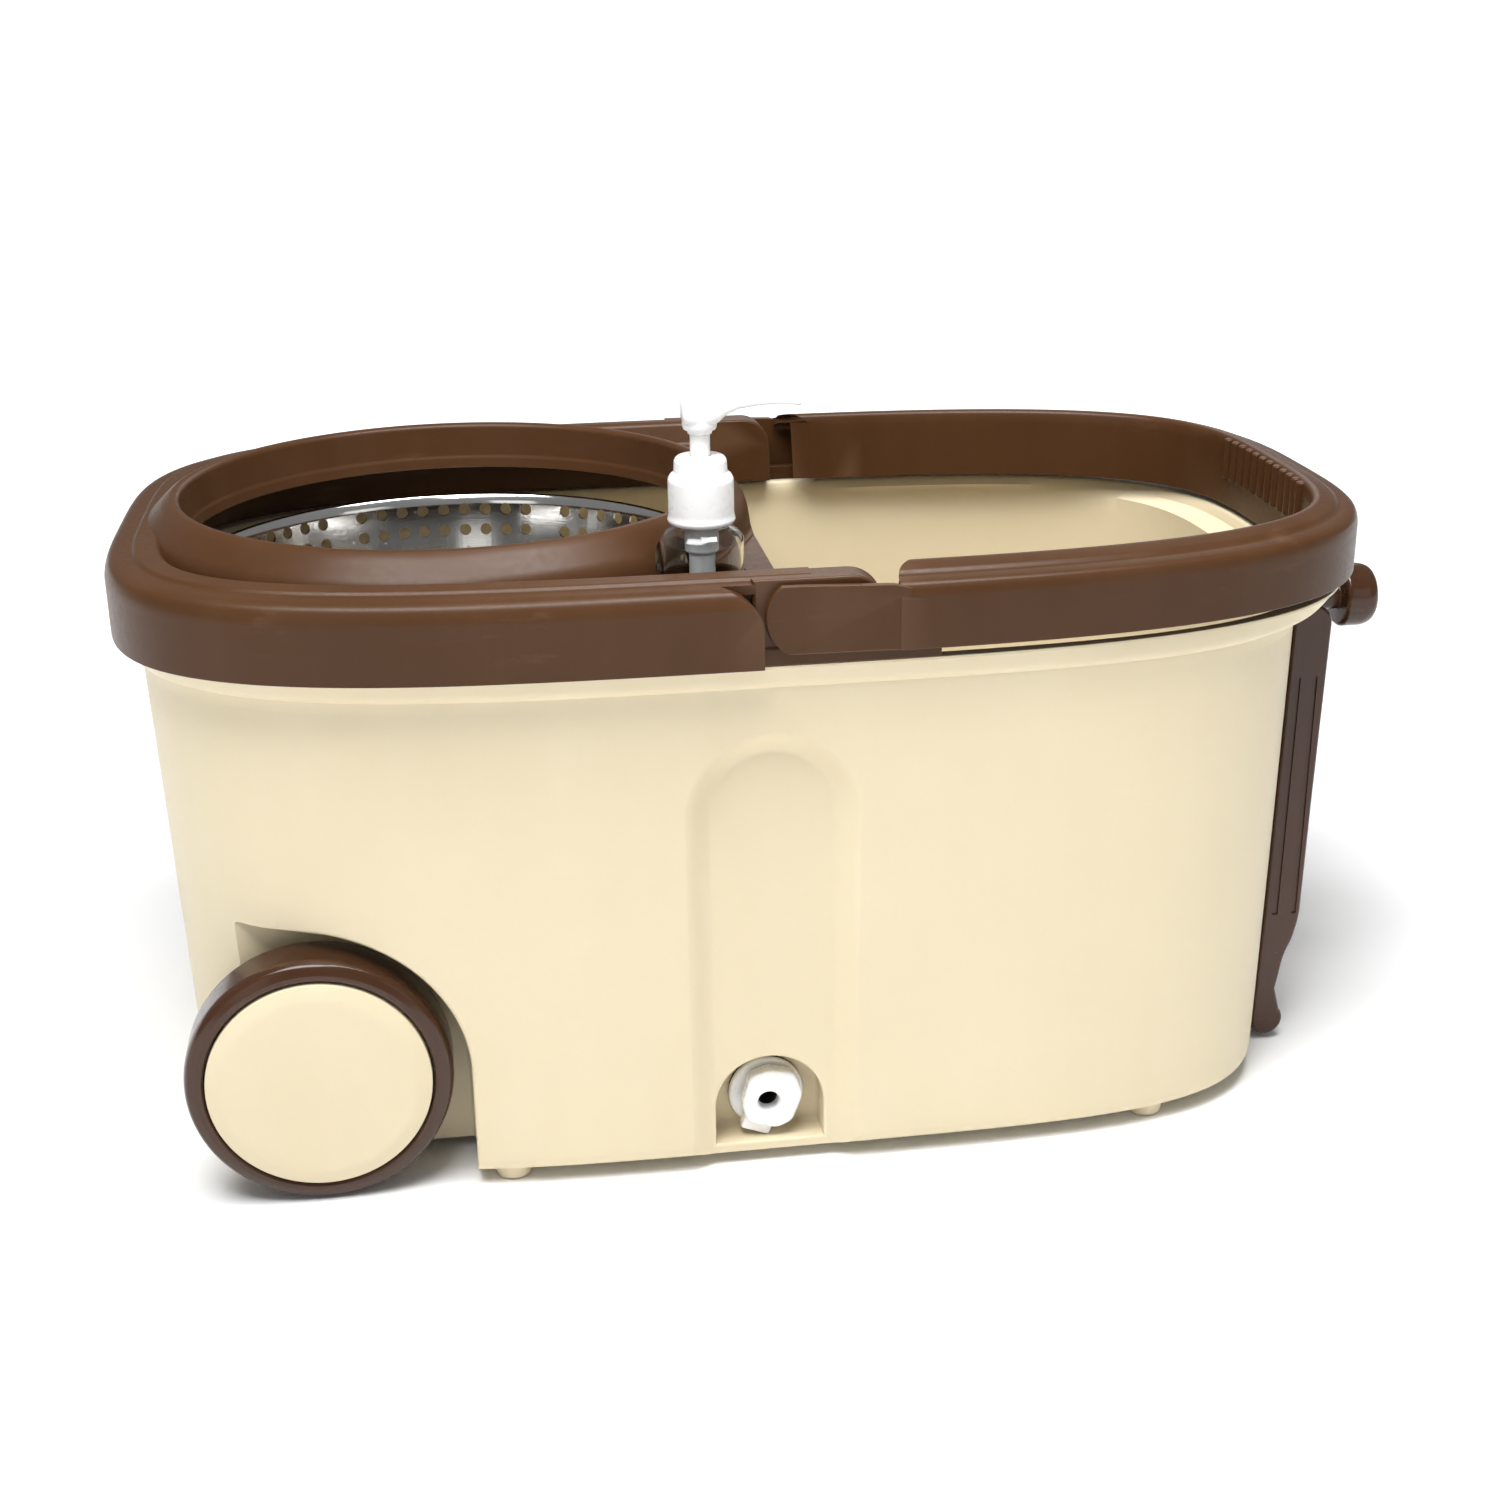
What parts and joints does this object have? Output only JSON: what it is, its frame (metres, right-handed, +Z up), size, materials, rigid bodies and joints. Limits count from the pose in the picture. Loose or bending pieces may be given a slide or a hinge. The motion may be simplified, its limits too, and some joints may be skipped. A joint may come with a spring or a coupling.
{
  "type": "spin mop bucket",
  "caption": "Oval wheeled mop bucket with a collared spin basket, swing carry handle, folding pull handle, drain plug and pump bottle.",
  "frame": {"origin": "under the middle of the bounding box, at floor level", "axes": "+X towards the pull handle end, away from the wheels; -Y towards the drain plug side; +Z up"},
  "size_m": [0.5358, 0.2968, 0.3],
  "materials": {
    "cream_plastic": "moulded cream polypropylene, satin",
    "brown_plastic": "moulded dark brown polypropylene, satin gloss",
    "white_plastic": "white moulded plastic",
    "plain_steel": "drawn steel rod and stamped washers",
    "polished_steel": "polished stainless sheet",
    "clear_plastic": "clear bottle plastic",
    "frosted_plastic": "translucent natural plastic",
    "seal_rubber": "black sealing ring"
  },
  "bodies": {
    "tub_body": {"tub": "cream_plastic", "spin_cover": "brown_plastic", "handle_pivot_near": "brown_plastic", "handle_pivot_far": "brown_plastic", "wheel_near_axle": "plain_steel", "wheel_far_axle": "plain_steel", "wheel_near_retainer": "plain_steel", "wheel_far_retainer": "plain_steel", "spindle_post": "brown_plastic", "spindle_pin": "plain_steel", "spindle_washer": "white_plastic", "hinge_bracket": "brown_plastic", "drain_socket": "white_plastic", "drain_gasket": "seal_rubber", "drain_nut": "white_plastic"},
    "spin_basket": {"basket_bowl": "polished_steel", "basket_hub": "brown_plastic", "basket_base_disc": "brown_plastic", "basket_bush": "white_plastic"},
    "carry_handle": {"carry_handle": "brown_plastic"},
    "wheel_near": {"wheel_near_tyre": "brown_plastic", "wheel_near_cap": "cream_plastic"},
    "wheel_far": {"wheel_far_tyre": "brown_plastic", "wheel_far_cap": "cream_plastic"},
    "pull_handle": {"pull_handle": "brown_plastic", "hinge_rod": "plain_steel"},
    "lock_knob": {"lock_knob": "brown_plastic"},
    "bottle": {"bottle_body": "clear_plastic", "pump_closure": "white_plastic", "pump_chamber": "frosted_plastic", "dip_tube": "frosted_plastic"},
    "pump_plunger": {"pump_stem": "white_plastic"},
    "pump_head": {"pump_head": "white_plastic"},
    "drain_plug": {"drain_plug": "white_plastic"}
  },
  "joints": [
    {"name": "basket_spin", "type": "hinge", "parent": "tub_body", "child": "spin_basket", "pos_m": [-0.135, 0, 0.136], "axis": [0, 0, 1], "continuous": true},
    {"name": "carry_handle_swing", "type": "hinge", "parent": "tub_body", "child": "carry_handle", "pos_m": [-0.012, 0, 0.2295], "axis": [0, -1, 0], "range_deg": [0, 100]},
    {"name": "wheel_near_spin", "type": "hinge", "parent": "tub_body", "child": "wheel_near", "pos_m": [-0.198, -0.12, 0.0507], "axis": [0, 1, 0], "continuous": true},
    {"name": "wheel_far_spin", "type": "hinge", "parent": "tub_body", "child": "wheel_far", "pos_m": [-0.198, 0.12, 0.0507], "axis": [0, 1, 0], "continuous": true},
    {"name": "pull_handle_swing", "type": "hinge", "parent": "tub_body", "child": "pull_handle", "pos_m": [0.2118, 0, 0.1905], "axis": [0, -1, 0], "range_deg": [0, 100]},
    {"name": "lock_knob_turn", "type": "hinge", "parent": "tub_body", "child": "lock_knob", "pos_m": [0.24, 0, 0.1805], "axis": [1, 0, 0], "range_deg": [0, 180]},
    {"name": "bottle_lift", "type": "slide", "parent": "tub_body", "child": "bottle", "axis": [0, 0, 1], "range_m": [0, 0.1]},
    {"name": "pump_press", "type": "slide", "parent": "bottle", "child": "pump_plunger", "axis": [0, 0, -1], "range_m": [0, 0.0075], "stiffness_N_per_m": 250, "springref_m": -0.004},
    {"name": "pump_head_turn", "type": "hinge", "parent": "pump_plunger", "child": "pump_head", "pos_m": [-0.0434, -0.098, 0.2948], "axis": [0, 0, 1], "range_deg": [-180, 180]},
    {"name": "drain_plug_pull", "type": "slide", "parent": "tub_body", "child": "drain_plug", "axis": [0, -1, 0], "range_m": [0, 0.03]}
  ]
}
